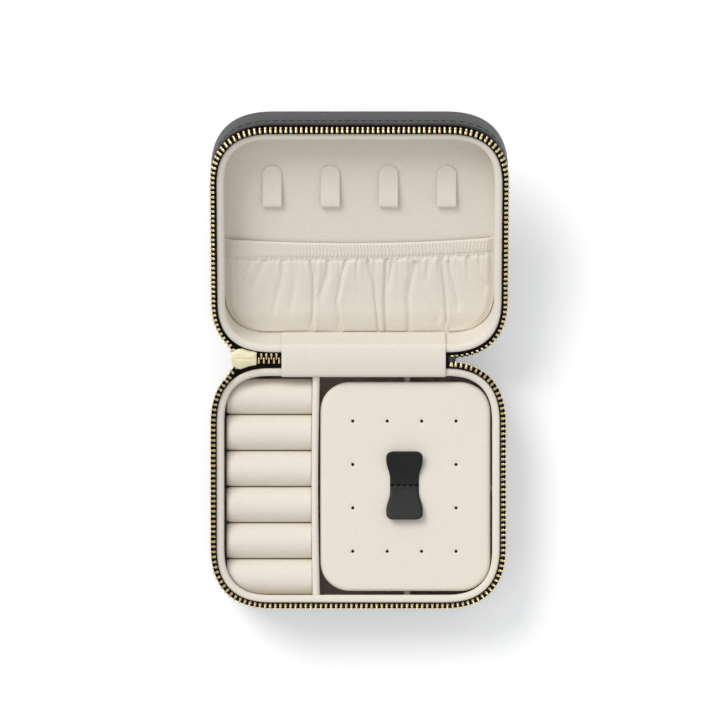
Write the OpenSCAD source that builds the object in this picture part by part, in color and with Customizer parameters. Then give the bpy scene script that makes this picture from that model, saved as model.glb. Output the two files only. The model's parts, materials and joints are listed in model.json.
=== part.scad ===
// Zip-round leather jewellery case, lying open with its lid leaning back.
// The base holds six ring rolls and a lift-out earring pad over four compartments.
// The lid holds four necklace tabs and a gathered pocket. A soft back strip folds twice between them.
// Millimetres. +X is right, +Y is towards the hinge, +Z is up. The origin is the middle of the underside.

/* [Case] */
// Half of the outer width of the leather wall
case_half_w = 58.5; // [57:0.5:60]
// Half of the outer depth of the leather wall
case_half_d = 48.8; // [48.3:0.5:50.3]
// How far each rounded corner reaches along the walls
corner = 26.5; // [22:0.5:28]
// Roundness of the corner curve, where 2 is a circle
corner_power = 2.6; // [2:0.1:3]
// How much of each step inwards a corner's reach gives up
corner_tighten = 1.4; // [1.2:0.1:1.4]
// Height of the base's hinge plane above the underside
base_h = 31; // [29:0.5:34]
// Depth of the lid from its hinge plane to its outer face
lid_depth = 20.5; // [20.5:0.5:23]
// Tilt of the open lid above level
lid_tilt = 23; // [15:1:30]
// Width of the soft back strip between its two folds
spine_gap = 5.9; // [5.9:0.1:7]

/* [Walls] */
// Thickness of the outer leather
leather_t = 1; // [0.8:0.1:1]
// Thickness of the stiffening board in the walls
wall_board_t = 0.8; // [0.6:0.1:0.8]
// Thickness of the foam-backed wall lining
wall_lining_t = 2.6; // [2.2:0.1:2.6]
// Width of the padded roll on each rim
rim_roll_w = 3.1; // [2.6:0.1:3.1]
// Thickness of the top and bottom boards
flat_board_t = 1.6; // [1.2:0.1:2]
// Thickness of the floor lining
floor_lining_t = 1; // [0.8:0.1:1.4]

/* [Zip] */
// Distance from one tooth to the next
tooth_pitch = 2; // [1.8:0.1:2.4]
// Length of a tooth
tooth_len = 2.5; // [2.2:0.1:2.6]
// Width of a tooth along the zip
tooth_w = 0.9; // [0.6:0.1:1]
// Thickness of a tooth
tooth_t = 1.2; // [0.9:0.1:1.2]
// Depth of the tape below the hinge plane
tape_depth = 10; // [8:0.5:12]

/* [Base fittings] */
// Number of ring rolls
roll_count = 6; // [4:1:6]
// Distance from one ring roll to the next
roll_pitch = 14.3; // [13:0.1:14.3]
// Length of a ring roll
roll_len = 34; // [28:0.5:34]
// Height of the dividers under the earring pad
low_divider_h = 16; // [12:0.5:17]

/* [Earring pad] */
// Width of the lift-out pad
pad_w = 67.4; // [60:0.1:67.4]
// Depth of the lift-out pad
pad_d = 82.8; // [78:0.1:82.8]
// Corner radius of the pad
pad_r = 12; // [12:0.5:14]
// Thickness of the pad's cushion
pad_cushion_t = 4.6; // [3:0.1:5]
// Diameter of the earring post holes
post_hole_d = 1.2; // [1:0.1:2]

/* [Lid fittings] */
// Depth of the lid's inside, from its hinge plane to the padded panel
lid_inside = 16; // [14:0.5:16]
// Distance from one necklace tab to the next
tab_pitch = 22.9; // [18:0.1:24]
// Length of a necklace tab
tab_len = 16.8; // [12:0.2:18]
// Width of a necklace tab
tab_w = 7.6; // [6:0.1:9]
// Reach of the pocket from the rim roll to its mouth
pocket_reach = 38.8; // [30:0.2:42]

/* [Hidden] */
RING_ROLLS = [for (i = [1:roll_count]) str("ring_roll_", i)];
NECKLACE_TABS = [for (i = [1:4]) str("necklace_tab_", i)];
TAB_SOCKETS = [for (i = [1:4]) str("tab_socket_", i)];

LEATHER = "#232323";
CREAM = "#e6dfd4";
BRASS = "#c9a86a";
TAPE = "#141414";
BOARD = "#8d7f6a";
eps = 0.01;

// Layers of a wall, as distances in from the outer face of the leather
tape_gap = 0.5;
tape_clear = 0.05;
board_in = leather_t;
tape_in = board_in + wall_board_t;
lining_in = tape_in + tape_gap;
inside_in = lining_in + wall_lining_t;
rim_out = 2.4;
rim_in = rim_out + rim_roll_w;
// Levels below a hinge plane, shared by the base and the lid
rim_drop = 0.6;
leather_drop = 4.5;
board_drop = 5;
rim_seat = 3;
// The inside floor of the base
floor_z = leather_t + flat_board_t + floor_lining_t;
// The fold line runs along the outer edge of the rim rolls
hinge_y = case_half_d - rim_out;

// Zip rows leave the wall between the board and the lining
zip_in = tape_in + tape_gap / 2;
zip_root_up = 0.6;
base_flare = 40;
lid_flare = -32;
base_end_flare = 6;
lid_end_flare = -40;
zip_start_angle = 86;
zip_end_angle = 47;
slider_reach = 3.8;
corner_steps = 12;
top_stop = [1.9, 1.3];

// Spine layers, as heights above the fold plane towards the inside of the case
chain_s = 3.7;
chain_up = 0.5;
chain_overlap = 0.9;
strip_x0 = -30.3;
strip_x1 = 34.6;
strip_margin = 0.5;
strip_tape_t = 0.4;
spine_leather_z = [-0.55, 0.25];
spine_tape_z = [0.3, 0.7];
spine_lining_z = [0.75, 1.5];
chain_x0 = -39.8;

// Slider outline along X, wide at the end where the two rows come in
slider_x_narrow = -40.1;
slider_x_wide = -46.4;
slider_round = 3.8;
slider_half_narrow = 2.4;
slider_waist = [-43.3, 2.7];
slider_half_wide = 3.6;
slider_t = 3;
slider_plate_t = 0.75;
slider_slot = 0.8;
pull_pin_d = 1;
pull_x = -48.4;
pull_pin_up = -2.6;
pull_len = 22;
pull_w = 4.6;
pull_neck = 1.2;

// Ring rolls and dividers
roll_x0 = -52.2;
roll_mid_y = -0.6;
roll_gap = 0.2;
roll_top = base_h - 4.5;
divider_x = [-18.1, -15.2];
divider_top = base_h - 3.1;
cross_x = [18.1, 20.7];
cross_y = [-2.6, 0.2];
low_divider_top = floor_z + low_divider_h;
lap_clear = 0.1;

// Earring pad, which rests on the low dividers
pad_x = 18.6;
pad_y = -0.5;
pad_z = low_divider_top + 0.2;
pad_board_t = 1.6;
pad_top = pad_z + pad_board_t + pad_cushion_t;
hole_mid = [18.3, -0.4];
hole_cols = [-20.45, -6.82, 6.82, 20.45];
hole_rows = [-25.8, -8.6, 8.6, 25.8];

// Bow-tie pull tab on the pad
bow_mid = [18.3, 0];
bow_len = 28;
bow_waist = 11.4;
bow_lobe = 14.5;
bow_r = 2.6;
bow_t = 1;
bow_hinge = 1.8;
bow_clear = 1.05;
bow_lift_front = 11;
bow_lift_rear = 13;
stitch_count = 5;
stitch_pitch = 2.5;

// Lid fittings, as distances from the lid's fold line
panel_t = 2.4;
tab_fold = 57;
tab_t = 1.2;
tab_float = 0.5;
stud_d = 4;
stud_t = 0.4;
stud_from_end = 3.8;
pocket_from = 3.6;
pocket_float = 0.3;
pocket_t = 2.8;
elastic_w = 5.6;
pocket_half_w = 52;

// Smooth step from 0 to 1
function ramp(x) = let (c = min(1, max(0, x))) c * c * (3 - 2 * c);
function blend(a, b, w) = a + (b - a) * w;

// One point of the corner curve in one quarter, at a distance in from the outer leather
function corner_pt(sx, sy, a, d) =
    let (r = corner - corner_tighten * d, e = 2 / corner_power)
    [sx * (case_half_w - d - r + r * pow(cos(a), e)), sy * (case_half_d - d - r + r * pow(sin(a), e))];

// The whole outline at a distance in from the outer leather
function outline(d) = [
    for (q = [0:3])
        for (i = [0:corner_steps])
            let (odd = q % 2, a = 90 * i / corner_steps)
                corner_pt(q == 1 || q == 2 ? -1 : 1, q < 2 ? 1 : -1, odd == 1 ? 90 - a : a, d)];

// Stations of a zip row: quarter signs, corner angle, reach towards the slider, flare
function zip_stations(flare, end_flare, steps) = concat(
    [for (i = [0:steps])
        let (a = zip_start_angle * (1 - i / steps))
            [1, 1, a, 0, blend(flare, end_flare, ramp((a - 40) / 40))]],
    [for (i = [0:steps]) [1, -1, 90 * i / steps, 0, flare]],
    [for (i = [0:steps]) [-1, -1, 90 * (1 - i / steps), 0, flare]],
    [for (i = [0:steps])
        let (a = zip_end_angle * i / steps, w = ramp((a - 15) / (zip_end_angle - 15)))
            [-1, 1, a, slider_reach * w, blend(flare, 0, w)]]);

function running(pts, i = 0, total = 0, out = []) =
    i == len(pts) - 1 ? concat(out, [total])
    : running(pts, i + 1, total + norm(pts[i + 1] - pts[i]), concat(out, [total]));

function rounded_rect(w, d, r) = [
    for (q = [0:3])
        for (a = [0:10:90])
            let (sx = q == 1 || q == 2 ? -1 : 1, sy = q < 2 ? 1 : -1)
                [sx * (w / 2 - r) + r * cos(90 * q + a), sy * (d / 2 - r) + r * sin(90 * q + a)]];

// A flat slab and a wall with the outline of the case
module slab(d, z0, z1) {
    translate([0, 0, z0]) linear_extrude(z1 - z0) polygon(outline(d));
}

module wall(d0, d1, z0, z1) {
    difference() {
        slab(d0, z0, z1);
        slab(d1, z0 - 1, z1 + 1);
    }
}

// A closed band swept round the case, from points that are [distance in, height]
module loop_band(profile) {
    n = len(outline(0));
    m = len(profile);
    pts = [for (j = [0:n - 1]) for (p = profile) [outline(p[0])[j][0], outline(p[0])[j][1], p[1]]];
    faces = [for (j = [0:n - 1]) for (k = [0:m - 1])
        [j * m + k, j * m + (k + 1) % m, ((j + 1) % n) * m + (k + 1) % m, ((j + 1) % n) * m + k]];
    polyhedron(pts, faces);
}

// The padded roll on a rim: flat below, round above
module rim_roll(plane_z) {
    r = rim_roll_w / 2;
    mid = rim_out + r;
    top = plane_z - rim_drop;
    loop_band(concat(
        [[rim_out, plane_z - rim_seat]],
        [for (a = [0:22.5:180]) [mid - r * cos(a), top - r + r * sin(a)]],
        [[rim_in, plane_z - rim_seat]]));
}

// The zip tape: buried in the wall, then out to the roots of the teeth
module zip_tape_row(plane_z, flare, end_flare) {
    st = zip_stations(flare, end_flare, corner_steps);
    n = len(st);
    m = 6;
    out_d = zip_in - tape_gap / 2 + tape_clear;
    in_d = zip_in + tape_gap / 2 - tape_clear;
    pts = [for (s = st)
        let (root = zip_in - s[3], foot = plane_z - tape_depth)
        for (p = [[in_d, foot], [out_d, foot], [out_d, plane_z - 0.3],
                  [root - 0.15, plane_z + zip_root_up - 0.25], [root, plane_z + zip_root_up + 0.15],
                  [in_d, plane_z + 0.1]])
            let (q = corner_pt(s[0], s[1], s[2], p[0])) [q[0], q[1], p[1]]];
    sides = [for (j = [0:n - 2]) for (k = [0:m - 1])
        [j * m + k, (j + 1) * m + k, (j + 1) * m + (k + 1) % m, j * m + (k + 1) % m]];
    caps = [[for (k = [0:m - 1]) k], [for (k = [m - 1:-1:0]) (n - 1) * m + k]];
    polyhedron(pts, concat(sides, caps));
}

// A tooth at each place along a zip row, from one distance to another.
// A last place under 0 counts back from the end.
module tooth_row(plane_z, flare, end_flare, first, last, len, w) {
    st = zip_stations(flare, end_flare, 2 * corner_steps);
    pts = [for (s = st) corner_pt(s[0], s[1], s[2], zip_in - s[3])];
    run = running(pts);
    xs = [for (i = [0:len(pts) - 1]) [run[i] + i * eps / 100, pts[i][0]]];
    ys = [for (i = [0:len(pts) - 1]) [run[i] + i * eps / 100, pts[i][1]]];
    fs = [for (i = [0:len(pts) - 1]) [run[i] + i * eps / 100, st[i][4]]];
    total = run[len(run) - 1];
    stop = last > 0 ? last : total + last;
    for (s = [first:tooth_pitch:stop]) {
        ahead = [lookup(s + 0.6, xs), lookup(s + 0.6, ys)];
        behind = [lookup(s - 0.6, xs), lookup(s - 0.6, ys)];
        turn = atan2(ahead[1] - behind[1], ahead[0] - behind[0]) + 90;
        translate([lookup(s, xs), lookup(s, ys), plane_z + zip_root_up])
            rotate([0, 0, turn]) rotate([0, -lookup(s, fs), 0]) tooth(len, w, tooth_t, lookup(s, fs));
    }
}

// A tooth starts clear of the tape's edge, further out where the row turns down
module tooth(len, w, t, flare) {
    start = 0.3 + max(0, tan(-flare)) * t / 2;
    translate([start, -w / 2, -t / 2]) cube([len, w, t]);
}

// Frames of the two bodies that fold
module on_spine() {
    translate([0, hinge_y, base_h]) rotate([lid_tilt / 2, 0, 0]) children();
}

module on_lid() {
    on_spine() translate([0, spine_gap, 0]) rotate([lid_tilt / 2, 0, 0]) children();
}

// The lid's middle, with its hinge side turned to match the base's
module on_lid_shell() {
    on_lid() translate([0, hinge_y, 0]) mirror([0, 1, 0]) children();
}

// Base
module base_wall_leather() {
    color(LEATHER) wall(0, leather_t, 0, base_h - leather_drop);
}

module base_bottom_leather() {
    color(LEATHER) slab(leather_t, 0, leather_t);
}

module base_bottom_board() {
    color(BOARD) slab(board_in, leather_t, leather_t + flat_board_t);
}

module base_wall_board() {
    color(BOARD) wall(board_in, tape_in, leather_t + flat_board_t, base_h - board_drop);
}

module base_floor_lining() {
    color(CREAM) slab(lining_in, leather_t + flat_board_t, floor_z);
}

module base_wall_lining() {
    color(CREAM) wall(lining_in, inside_in, floor_z, base_h - rim_seat);
}

module base_rim_roll() {
    color(CREAM) rim_roll(base_h);
}

module base_zip_tape() {
    color(TAPE) zip_tape_row(base_h, base_flare, base_end_flare);
}

module base_zip_teeth() {
    color(BRASS) tooth_row(base_h, base_flare, base_end_flare, 2.6, -0.6, tooth_len, tooth_w);
}

module base_zip_top_stop() {
    color(BRASS) tooth_row(base_h, base_flare, base_end_flare, 0.9, 1, top_stop[0], top_stop[1]);
}

// One upright padded ring roll, trimmed to the rounded corners of the inside
module ring_roll(i) {
    w = roll_pitch - roll_gap;
    y = roll_mid_y + (i - (roll_count + 1) / 2) * roll_pitch;
    color(CREAM) intersection() {
        translate([roll_x0, y, 0]) rotate([90, 0, 90]) linear_extrude(roll_len) union() {
            translate([-w / 2, floor_z]) square([w, roll_top - w / 2 - floor_z]);
            translate([0, roll_top - w / 2]) circle(d = w, $fn = 64);
        }
        slab(inside_in + roll_gap, floor_z, base_h);
    }
}

module ring_roll_divider() {
    half = case_half_d - inside_in - lap_clear;
    color(CREAM) translate([divider_x[0], -half, floor_z])
        cube([divider_x[1] - divider_x[0], 2 * half, divider_top - floor_z]);
}

// The two low dividers cross with half-height notches
module cross_divider_long() {
    half = case_half_d - inside_in - lap_clear;
    color(CREAM) difference() {
        translate([cross_x[0], -half, floor_z])
            cube([cross_x[1] - cross_x[0], 2 * half, low_divider_h]);
        translate([cross_x[0] - 1, cross_y[0] - lap_clear, floor_z + low_divider_h / 2])
            cube([cross_x[1] - cross_x[0] + 2, cross_y[1] - cross_y[0] + 2 * lap_clear, low_divider_h]);
    }
}

module cross_divider_short() {
    x1 = case_half_w - inside_in - lap_clear;
    color(CREAM) difference() {
        translate([divider_x[1] + lap_clear, cross_y[0], floor_z])
            cube([x1 - divider_x[1] - lap_clear, cross_y[1] - cross_y[0], low_divider_h]);
        translate([cross_x[0] - lap_clear, cross_y[0] - 1, floor_z - 1])
            cube([cross_x[1] - cross_x[0] + 2 * lap_clear, cross_y[1] - cross_y[0] + 2,
                  low_divider_h / 2 + 1]);
    }
}

// Earring pad
module post_holes() {
    for (i = [0:3])
        for (j = [0:3])
            if (i == 0 || i == 3 || j == 0 || j == 3)
                translate([hole_mid[0] + hole_cols[i], hole_mid[1] + hole_rows[j], pad_z - 1])
                    cylinder(d = post_hole_d, h = pad_top - pad_z + 2, $fn = 24);
}

module pad_layer(z, t, inset) {
    difference() {
        translate([pad_x, pad_y, z]) linear_extrude(t)
            polygon(rounded_rect(pad_w - 2 * inset, pad_d - 2 * inset, pad_r - inset));
        post_holes();
    }
}

module pad_board() {
    color(BOARD) pad_layer(pad_z, pad_board_t, 0.6);
}

module pad_cushion() {
    color(CREAM) pad_layer(pad_z + pad_board_t, pad_cushion_t, 0);
}

// Bow-tie pull tab: sewn down along the middle, with a wing that lifts on each side
function bow_half(v) = (bow_waist + (bow_lobe - bow_waist) * ramp((v - 2) / 8)) / 2;

module pull_tab_centre() {
    w = bow_hinge - bow_clear;
    color(LEATHER) translate([bow_mid[0] - bow_waist / 2, bow_mid[1] - w, pad_top])
        cube([bow_waist, 2 * w, bow_t]);
}

module pull_tab_stitches() {
    color("#111111") for (i = [0:stitch_count - 1])
        translate([bow_mid[0] + (i - (stitch_count - 1) / 2) * stitch_pitch, bow_mid[1], pad_top + bow_t])
            translate([-0.9, -0.25, 0]) cube([1.8, 0.5, 0.3]);
}

module pull_tab_wing(lift) {
    end = bow_len / 2;
    side = [for (v = [bow_hinge:1:end - bow_r]) [bow_half(v), v]];
    arc = [for (a = [0:15:90]) [bow_lobe / 2 - bow_r + bow_r * cos(a), end - bow_r + bow_r * sin(a)]];
    half = concat(side, arc);
    pts = concat(half, [for (i = [len(half) - 1:-1:0]) [-half[i][0], half[i][1]]]);
    color(LEATHER) translate([0, bow_hinge, 0]) rotate([lift, 0, 0]) translate([0, -bow_hinge, 0])
        linear_extrude(bow_t) polygon(pts);
}

module pull_tab_rear() {
    translate([bow_mid[0], bow_mid[1], pad_top + 0.1]) pull_tab_wing(bow_lift_rear);
}

module pull_tab_front() {
    translate([bow_mid[0], bow_mid[1], pad_top + 0.1]) mirror([0, 1, 0]) pull_tab_wing(bow_lift_front);
}

// Spine: the soft back strip, the closed end of the zip, the slider and its pull
module spine_layer(x0, x1, s0, s1, z) {
    translate([x0, s0, z[0]]) cube([x1 - x0, s1 - s0, z[1] - z[0]]);
}

module bottom_stop_block(clear) {
    half = tooth_len - chain_overlap / 2 + 0.2 + clear;
    translate([strip_x0 + 0.3 - clear, chain_s - half, chain_up - tooth_t / 2 - clear])
        cube([1.2 + 2 * clear, 2 * half, tooth_t + 2 * clear]);
}

module spine_leather() {
    color(LEATHER) on_spine() difference() {
        spine_layer(strip_x0, strip_x1, strip_margin, spine_gap - strip_margin, spine_leather_z);
        bottom_stop_block(0.05);
    }
}

module spine_lining() {
    color(CREAM) on_spine() difference() {
        spine_layer(strip_x0, strip_x1, strip_margin, spine_gap - strip_margin, spine_lining_z);
        bottom_stop_block(0.05);
    }
}

module spine_zip_tape() {
    root = tooth_len - chain_overlap / 2 + 0.1;
    color(TAPE) on_spine() difference() {
        spine_layer(chain_x0, strip_x1 - 1, strip_margin + 0.3, spine_gap - strip_margin - 0.3, spine_tape_z);
        translate([chain_x0 - 1, chain_s - root, -1]) cube([strip_x0 - chain_x0 + 1.2, 2 * root, 3]);
        bottom_stop_block(0.05);
    }
}

module spine_chain_teeth() {
    count = floor((strip_x0 - chain_x0 - 0.4) / tooth_pitch);
    color(BRASS) on_spine() for (i = [0:2 * count - 1])
        translate([chain_x0 + 0.6 + i * tooth_pitch / 2, chain_s, chain_up])
            mirror([0, i % 2, 0])
                translate([-0.4, chain_overlap / 2 - tooth_len, -tooth_t / 2])
                    cube([0.8, tooth_len, tooth_t]);
}

module zip_bottom_stop() {
    color(BRASS) on_spine() bottom_stop_block(0);
}

module slider_plan(inset, grow) {
    half = slider_half_wide - 2 * inset;
    polygon(concat(
        [[slider_waist[0], inset - slider_waist[1]], [slider_x_narrow + grow, inset - slider_half_narrow],
         [slider_x_narrow + grow, slider_half_narrow - inset], [slider_waist[0], slider_waist[1] - inset]],
        [for (a = [0:15:180])
            [slider_x_wide - (slider_round + grow) * sin(a), half * cos(a)]]));
}

module zip_slider() {
    z0 = chain_up - slider_t / 2;
    color(BRASS) on_spine() translate([0, chain_s, 0]) {
        difference() {
            translate([0, 0, z0]) linear_extrude(slider_t) slider_plan(0, 0);
            difference() {
                union() {
                    translate([0, 0, z0 + slider_plate_t]) linear_extrude(slider_t - 2 * slider_plate_t)
                        slider_plan(0.25, 1);
                    translate([slider_x_wide - slider_round - 1, -slider_half_wide - 1,
                               chain_up - slider_slot / 2])
                        cube([slider_x_narrow - slider_x_wide + slider_round + 2, 2 * slider_half_wide + 2,
                              slider_slot]);
                }
                translate([0, 0, z0 - 1]) linear_extrude(slider_t + 2)
                    polygon([[slider_x_wide - slider_round, -1], [slider_x_wide + 0.4, -1],
                             [slider_x_wide + 2, 0],
                             [slider_x_wide + 0.4, 1], [slider_x_wide - slider_round, 1]]);
            }
        }
        for (side = [-1, 1])
            translate([pull_x - 1, side * (pull_neck / 2 + 0.5) - 0.35, pull_pin_up - 1])
                cube([2, 0.7, z0 - pull_pin_up + 1 + eps]);
        translate([pull_x, -pull_neck / 2 - 0.5, pull_pin_up]) rotate([-90, 0, 0])
            cylinder(d = pull_pin_d, h = pull_neck + 1, $fn = 24);
    }
}

// The pull hangs from the slider's pin on the outer side of the zip
module zip_pull() {
    eye_r = 1.2;
    pull_edge = [[pull_neck / 2, -2.6], [pull_w / 2, -5], [pull_w / 2, -pull_len + 2], [1.2, -pull_len]];
    color(BRASS) on_spine() translate([pull_x, chain_s, pull_pin_up]) difference() {
        union() {
            rotate([90, 0, 0]) cylinder(r = eye_r, h = pull_neck - 0.1, center = true, $fn = 32);
            translate([-0.5, -pull_neck / 2 + 0.05, -3]) cube([1, pull_neck - 0.1, 3]);
            translate([-0.5, 0, 0]) rotate([90, 0, 90]) linear_extrude(1)
                polygon(concat(
                    [for (p = pull_edge) [-p[0], p[1]]],
                    [for (i = [len(pull_edge) - 1:-1:0]) pull_edge[i]]));
        }
        rotate([90, 0, 0]) cylinder(d = pull_pin_d + 0.4, h = pull_neck + 1, center = true, $fn = 32);
    }
}

// Lid
module lid_wall_leather() {
    color(LEATHER) on_lid_shell() wall(0, leather_t, -lid_depth, -leather_drop);
}

module lid_top_leather() {
    color(LEATHER) on_lid_shell() slab(leather_t, -lid_depth, -lid_depth + leather_t);
}

module lid_top_board() {
    color(BOARD) on_lid_shell() slab(board_in, -lid_depth + leather_t, -lid_inside - panel_t);
}

module lid_wall_board() {
    color(BOARD) on_lid_shell() wall(board_in, tape_in, -lid_inside - panel_t, -board_drop);
}

module lid_panel() {
    color(CREAM) on_lid_shell() slab(lining_in, -lid_inside - panel_t, -lid_inside);
}

module lid_wall_lining() {
    color(CREAM) on_lid_shell() wall(lining_in, inside_in, -lid_inside, -rim_seat);
}

module lid_rim_roll() {
    color(CREAM) on_lid_shell() rim_roll(0);
}

module lid_zip_tape() {
    color(TAPE) on_lid_shell() zip_tape_row(0, lid_flare, lid_end_flare);
}

module lid_zip_teeth() {
    color(BRASS) on_lid_shell() tooth_row(0, lid_flare, lid_end_flare, 2.6, -0.6, tooth_len, tooth_w);
}

module lid_zip_top_stop() {
    color(BRASS) on_lid_shell() tooth_row(0, lid_flare, lid_end_flare, 0.9, 1, top_stop[0], top_stop[1]);
}

// Necklace tabs hinge on their lower fold and press shut near their round end
module at_tab(i) {
    on_lid() translate([(i - 2.5) * tab_pitch, tab_fold, -lid_inside]) children();
}

module stud_place() {
    translate([0, tab_len - stud_from_end, 0]) children();
}

module press_studs() {
    color(BRASS) for (i = [1:4]) at_tab(i) stud_place() cylinder(d = stud_d, h = stud_t, $fn = 32);
}

module necklace_tab(i) {
    r = tab_w / 2;
    color(CREAM) at_tab(i) difference() {
        translate([0, 0, tab_float]) linear_extrude(tab_t) union() {
            translate([-r, 0]) square([tab_w, tab_len - r]);
            translate([0, tab_len - r]) circle(r, $fn = 48);
        }
        stud_place() translate([0, 0, tab_float - 1]) cylinder(d = stud_d, h = 1 + stud_t, $fn = 32);
    }
}

module tab_socket(i) {
    color(BRASS) at_tab(i) stud_place() translate([0, 0, tab_float])
        cylinder(d = stud_d, h = stud_t, $fn = 32);
}

// The pocket covers the half of the panel next to the hinge
module pocket_slice(from, to, top) {
    on_lid() intersection() {
        translate([0, hinge_y, 0])
            slab(inside_in + pocket_float, -lid_inside + pocket_float, -lid_inside + top);
        translate([-pocket_half_w, from, -lid_depth]) cube([2 * pocket_half_w, to - from, lid_depth]);
    }
}

module pocket_panel() {
    color(CREAM) pocket_slice(rim_roll_w + pocket_from - 1, rim_roll_w + pocket_reach - elastic_w, pocket_t);
}

module pocket_elastic() {
    color(CREAM) pocket_slice(rim_roll_w + pocket_reach - elastic_w, rim_roll_w + pocket_reach, pocket_t);
}

base_wall_leather();
base_bottom_leather();
base_wall_board();
base_bottom_board();
base_wall_lining();
base_floor_lining();
base_rim_roll();
base_zip_tape();
base_zip_teeth();
base_zip_top_stop();
for (i = [1:roll_count]) ring_roll(i);
ring_roll_divider();
cross_divider_long();
cross_divider_short();
pad_board();
pad_cushion();
pull_tab_centre();
pull_tab_stitches();
pull_tab_front();
pull_tab_rear();
spine_leather();
spine_lining();
spine_zip_tape();
spine_chain_teeth();
zip_bottom_stop();
zip_slider();
zip_pull();
lid_wall_leather();
lid_top_leather();
lid_wall_board();
lid_top_board();
lid_wall_lining();
lid_panel();
lid_rim_roll();
lid_zip_tape();
lid_zip_teeth();
lid_zip_top_stop();
press_studs();
for (i = [1:4]) necklace_tab(i);
for (i = [1:4]) tab_socket(i);
pocket_panel();
pocket_elastic();
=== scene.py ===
"""Looks of the open jewellery case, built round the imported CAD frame.

Shapes are made in millimetres in a local frame, and a place matrix puts them in the row frame in metres.
The base and the lid share one outline. A place on it is s, the distance clockwise from the middle of the
hinge side, and d, the distance in from the outer leather. The lid is built like the base and then mirrored.
"""

import json

import bmesh
import bpy
import numpy as np
from mathutils import Matrix, Vector


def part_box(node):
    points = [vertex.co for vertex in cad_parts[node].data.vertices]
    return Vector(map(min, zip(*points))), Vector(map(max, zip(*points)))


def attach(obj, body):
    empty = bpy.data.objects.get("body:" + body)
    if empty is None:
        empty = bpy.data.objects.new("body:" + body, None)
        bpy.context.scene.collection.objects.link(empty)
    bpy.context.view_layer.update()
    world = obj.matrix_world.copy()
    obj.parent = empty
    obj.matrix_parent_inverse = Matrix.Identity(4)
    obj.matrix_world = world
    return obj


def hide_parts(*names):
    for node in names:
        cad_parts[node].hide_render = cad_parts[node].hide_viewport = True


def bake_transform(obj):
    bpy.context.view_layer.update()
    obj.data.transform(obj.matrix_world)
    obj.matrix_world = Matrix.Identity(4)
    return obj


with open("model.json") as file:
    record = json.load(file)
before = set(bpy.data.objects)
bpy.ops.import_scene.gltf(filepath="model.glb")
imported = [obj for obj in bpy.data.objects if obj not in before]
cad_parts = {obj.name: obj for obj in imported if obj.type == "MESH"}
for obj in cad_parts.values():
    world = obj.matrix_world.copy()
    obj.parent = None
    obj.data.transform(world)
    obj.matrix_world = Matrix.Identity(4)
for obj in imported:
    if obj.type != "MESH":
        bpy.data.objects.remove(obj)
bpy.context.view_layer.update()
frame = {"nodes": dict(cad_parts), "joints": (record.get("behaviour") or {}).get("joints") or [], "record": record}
RANDOM = np.random.default_rng(7)

# ---- sizes in millimetres

JOINTS = {joint["name"]: np.array(joint.get("pos_m", (0, 0, 0))) * 1000 for joint in frame["joints"]}


def node_box(name):
    """The lowest and highest corner of a CAD node, in millimetres."""
    low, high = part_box(name)
    return np.array(low) * 1000, np.array(high) * 1000


HINGE_Y, BASE_H = JOINTS["spine_fold"][1:]
SPINE_RUN = JOINTS["lid_fold"] - JOINTS["spine_fold"]
SPINE_GAP = np.linalg.norm(SPINE_RUN)
HALF_TILT = np.arctan2(SPINE_RUN[2], SPINE_RUN[1])
HALF_W, HALF_D = node_box("base_wall_leather")[1][:2]
CORNER = 26.5
CORNER_POWER = 2.6
CORNER_TIGHTEN = 1.4
CORNER_STEPS = 48
DIRECTION_STEP = 0.3

# Heights are from the rim. Names in IN are distances in from the outer leather
WALL_TOP = -6.0
LINING_IN = 2.3
INSIDE_IN = 4.9
STITCH_DROP = -2.6
STITCH_PITCH = 3.2
ROLL_IN = (2.4, 5.5)
ROLL_TOP = -0.6
ROLL_SEAT = -3
BASE_FLOOR = 3.6
LID_OUT = -20.5
LID_PANEL = -16

ZIP_IN = 2.05
ZIP_UP = 0.6
TOOTH_PITCH = 2.0
TOOTH_START = 0.3
TOOTH_LEAN = 0.02
FIRST_TOOTH = 2.6
STOP_AT = 0.9
TAPE_HALF_T = 0.2
TAPE_FOOT = -9.5
CORD_R = 0.38
BASE_FLARES = (40, 6)
LID_FLARES = (-32, -40)
# Corner angles where a row starts, where it starts to turn into the strip, and where its teeth end
ZIP_START = 86
TURN_ANGLE = 45
ZIP_END = 62
SLIDER_REACH = 2.4
CHAIN_S = 3.95
STRIP_X = (-30.3, 34.6)
LID_SHIFT = 0.5
HIDDEN_RUN = 31
BASE_STRIP_DEPTH = 3.4
LID_STRIP_DEPTH = 13.4


# ---- frames


def move(x, y, z):
    return np.array(Matrix.Translation((x, y, z)))


def turn_x(angle):
    return np.array(Matrix.Rotation(angle, 4, "X"))


MIRROR_Y = np.diag([1.0, -1.0, 1.0, 1.0])
METRES = np.diag([0.001, 0.001, 0.001, 1.0])
BASE = METRES @ move(0, 0, BASE_H)
SPINE = METRES @ move(0, HINGE_Y, BASE_H) @ turn_x(HALF_TILT)
LID = METRES @ move(*(JOINTS["lid_fold"] + (LID_SHIFT, 0, 0))) @ turn_x(2 * HALF_TILT)
LID_SHELL = LID @ move(0, HINGE_Y, 0) @ MIRROR_Y
SPINE_BACK = SPINE @ move(0, SPINE_GAP, 0) @ MIRROR_Y


def placed(place, points):
    """Points moved from a local frame by its place matrix."""
    points = np.asarray(points, float).reshape(-1, 3)
    return points @ place[:3, :3].T + place[:3, 3]


# ---- small tools


def xyz(x, y, z):
    """Points from coordinates that are arrays or single numbers."""
    return np.stack(np.broadcast_arrays(x, y, z), -1).astype(float)


def ramp(x):
    """A smooth step from 0 to 1."""
    x = np.clip(x, 0, 1)
    return x * x * (3 - 2 * x)


def bell(x, width):
    return np.exp(-((x / width) ** 2))


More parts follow.
